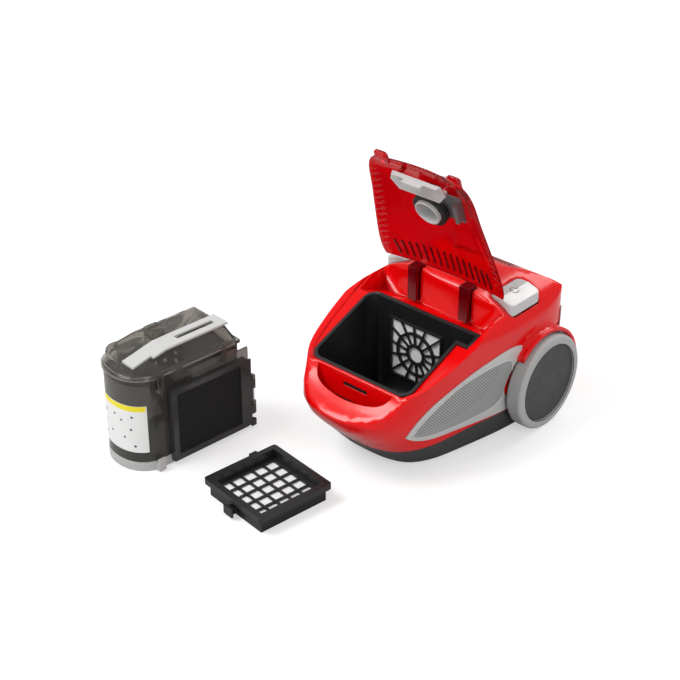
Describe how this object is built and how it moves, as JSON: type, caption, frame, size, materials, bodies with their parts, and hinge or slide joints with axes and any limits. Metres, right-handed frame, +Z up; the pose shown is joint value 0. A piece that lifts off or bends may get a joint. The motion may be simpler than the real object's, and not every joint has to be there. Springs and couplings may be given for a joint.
{
  "type": "canister vacuum cleaner",
  "caption": "Canister vacuum cleaner, lid raised on its hinge, with a wheeled body, an empty dust bay, a lift-out dust container and a filter cassette standing beside it.",
  "frame": {"origin": "middle of the footprint of the whole set, on the floor", "axes": "+Z up, the cleaner's nose towards -Y, its right side with the power pedal towards +X"},
  "size_m": [0.428, 0.5611, 0.41],
  "materials": {
    "red_gloss": "high gloss moulded ABS",
    "ruby_clear": "translucent ruby polycarbonate",
    "ruby_dark": "translucent dark ruby polycarbonate",
    "base_grey": "satin dark grey",
    "bay_black": "satin black",
    "silver_plastic": "satin silver-grey lacquer",
    "tyre_grey": "soft grey tread ring",
    "hub_grey": "fine textured dark grey",
    "steel": "zinc plated",
    "copper_dark": "varnished laminations and windings",
    "aluminium": "pressed",
    "soft_rubber": "matt",
    "black_plastic": "satin black",
    "dark_metallic": "dark grey satin",
    "board_green": "solder mask",
    "white_media": "non-woven",
    "smoke_clear": "smoke-grey transparent",
    "smoke_dark": "dark smoke",
    "label_white": "printed film",
    "pale_grey": "satin light grey",
    "filter_black": "black pleated media"
  },
  "bodies": {
    "cleaner": {"base_pan": "base_grey", "upper_shell": "red_gloss", "bay_liner": "bay_black", "side_panel_left": "silver_plastic", "side_panel_right": "silver_plastic", "filter_housing": "bay_black", "wheel_axle_left": "steel", "wheel_axle_right": "steel", "hinge_pins": "steel", "hinge_bracket": "black_plastic", "motor_can": "steel", "motor_stator": "copper_dark", "motor_mounts": "soft_rubber", "motor_cradle": "black_plastic", "reel_bracket": "black_plastic", "pedal_spring_left": "steel", "pedal_spring_right": "steel", "power_switch": "black_plastic", "circuit_board": "board_green", "exhaust_grille": "red_gloss", "exhaust_filter": "white_media", "base_screws": "steel", "cord_gland": "soft_rubber", "rear_trims": "silver_plastic"},
    "motor_filter": {"motor_filter_grille": "black_plastic", "motor_filter_foam": "white_media"},
    "wheel_left": {"wheel_tyre_left": "tyre_grey", "wheel_hub_left": "hub_grey"},
    "wheel_right": {"wheel_tyre_right": "tyre_grey", "wheel_hub_right": "hub_grey"},
    "caster": {"caster_fork": "black_plastic", "caster_axle": "steel"},
    "caster_wheel": {"caster_roller": "black_plastic"},
    "lid": {"lid_shell": "ruby_clear", "lid_arms": "ruby_dark", "inlet_tube": "silver_plastic", "inlet_seal": "soft_rubber", "inlet_clamp": "dark_metallic"},
    "lid_latch": {"latch_handle": "silver_plastic"},
    "rotor": {"motor_rotor": "steel", "impeller": "aluminium"},
    "cord_reel": {"reel_drum": "black_plastic"},
    "power_pedal": {"power_pedal": "silver_plastic"},
    "rewind_pedal": {"rewind_pedal": "silver_plastic"},
    "dust_container": {"container_body": "smoke_clear", "container_label": "label_white", "container_separator": "smoke_dark", "door_pin": "steel", "container_lid_hinge": "smoke_clear", "flap_pin": "smoke_dark"},
    "container_flap": {"container_flap": "pale_grey"},
    "filter_door": {"filter_door_frame": "smoke_dark", "door_filter": "filter_black"},
    "container_cover": {"container_lid": "smoke_clear", "container_lid_barrels": "smoke_clear", "container_clips": "smoke_clear", "container_handle": "pale_grey"},
    "cassette": {"cassette_frame": "black_plastic", "cassette_media": "white_media", "cassette_tab": "black_plastic"}
  },
  "joints": [
    {"name": "lid_hinge", "type": "hinge", "parent": "cleaner", "child": "lid", "pos_m": [0.074, 0.1215, 0.211], "axis": [1, 0, 0], "range_deg": [0, 92]},
    {"name": "lid_latch_press", "type": "hinge", "parent": "lid", "child": "lid_latch", "pos_m": [0.074, 0.0648, 0.37812], "axis": [1, 0, 0], "range_deg": [-6, 0], "stiffness_Nm_per_rad": 0.8},
    {"name": "right_wheel_spin", "type": "hinge", "parent": "cleaner", "child": "wheel_right", "pos_m": [0.202, 0.1925, 0.0704], "axis": [1, 0, 0], "continuous": true},
    {"name": "left_wheel_spin", "type": "hinge", "parent": "cleaner", "child": "wheel_left", "pos_m": [-0.054, 0.1925, 0.0704], "axis": [1, 0, 0], "continuous": true},
    {"name": "caster_swivel", "type": "hinge", "parent": "cleaner", "child": "caster", "pos_m": [0.074, 0.008, 0.018], "axis": [0, 0, 1], "continuous": true},
    {"name": "caster_roll", "type": "hinge", "parent": "caster", "child": "caster_wheel", "pos_m": [0.074, 0.012, 0.0095], "axis": [1, 0, 0], "continuous": true},
    {"name": "motor_spin", "type": "hinge", "parent": "cleaner", "child": "rotor", "pos_m": [0.1, 0.158, 0.1], "axis": [0, 1, 0], "continuous": true},
    {"name": "reel_spin", "type": "hinge", "parent": "cleaner", "child": "cord_reel", "pos_m": [0.002, 0.184, 0.104], "axis": [1, 0, 0], "continuous": true},
    {"name": "power_press", "type": "slide", "parent": "cleaner", "child": "power_pedal", "axis": [0, 0, -1], "range_m": [0, 0.004], "stiffness_N_per_m": 600, "springref_m": -0.003, "deforming": ["pedal_spring_right"]},
    {"name": "rewind_press", "type": "slide", "parent": "cleaner", "child": "rewind_pedal", "axis": [0, 0, -1], "range_m": [0, 0.004], "stiffness_N_per_m": 600, "springref_m": -0.003, "deforming": ["pedal_spring_left"]},
    {"name": "motor_filter_pull", "type": "slide", "parent": "cleaner", "child": "motor_filter", "axis": [0, -1, 0], "range_m": [0, 0.05]},
    {"name": "container_lift", "type": "slide", "parent": "cleaner", "child": "dust_container", "axis": [0, 0, 1], "range_m": [0, 0.42]},
    {"name": "container_cover_hinge", "type": "hinge", "parent": "dust_container", "child": "container_cover", "pos_m": [-0.20548, -0.17171, 0.1438], "axis": [0.0941, 0.9956, 0], "range_deg": [-100, 0]},
    {"name": "container_flap_hinge", "type": "hinge", "parent": "dust_container", "child": "container_flap", "pos_m": [-0.14658, -0.09592, 0.006], "axis": [-0.9956, 0.0941, 0], "range_deg": [-85, 0]},
    {"name": "filter_door_hinge", "type": "hinge", "parent": "dust_container", "child": "filter_door", "pos_m": [-0.09549, -0.08669, 0.06], "axis": [0, 0, 1], "range_deg": [0, 32]},
    {"name": "cassette_lift", "type": "slide", "parent": "cleaner", "child": "cassette", "axis": [0, 0, 1], "range_m": [0, 0.42]}
  ]
}
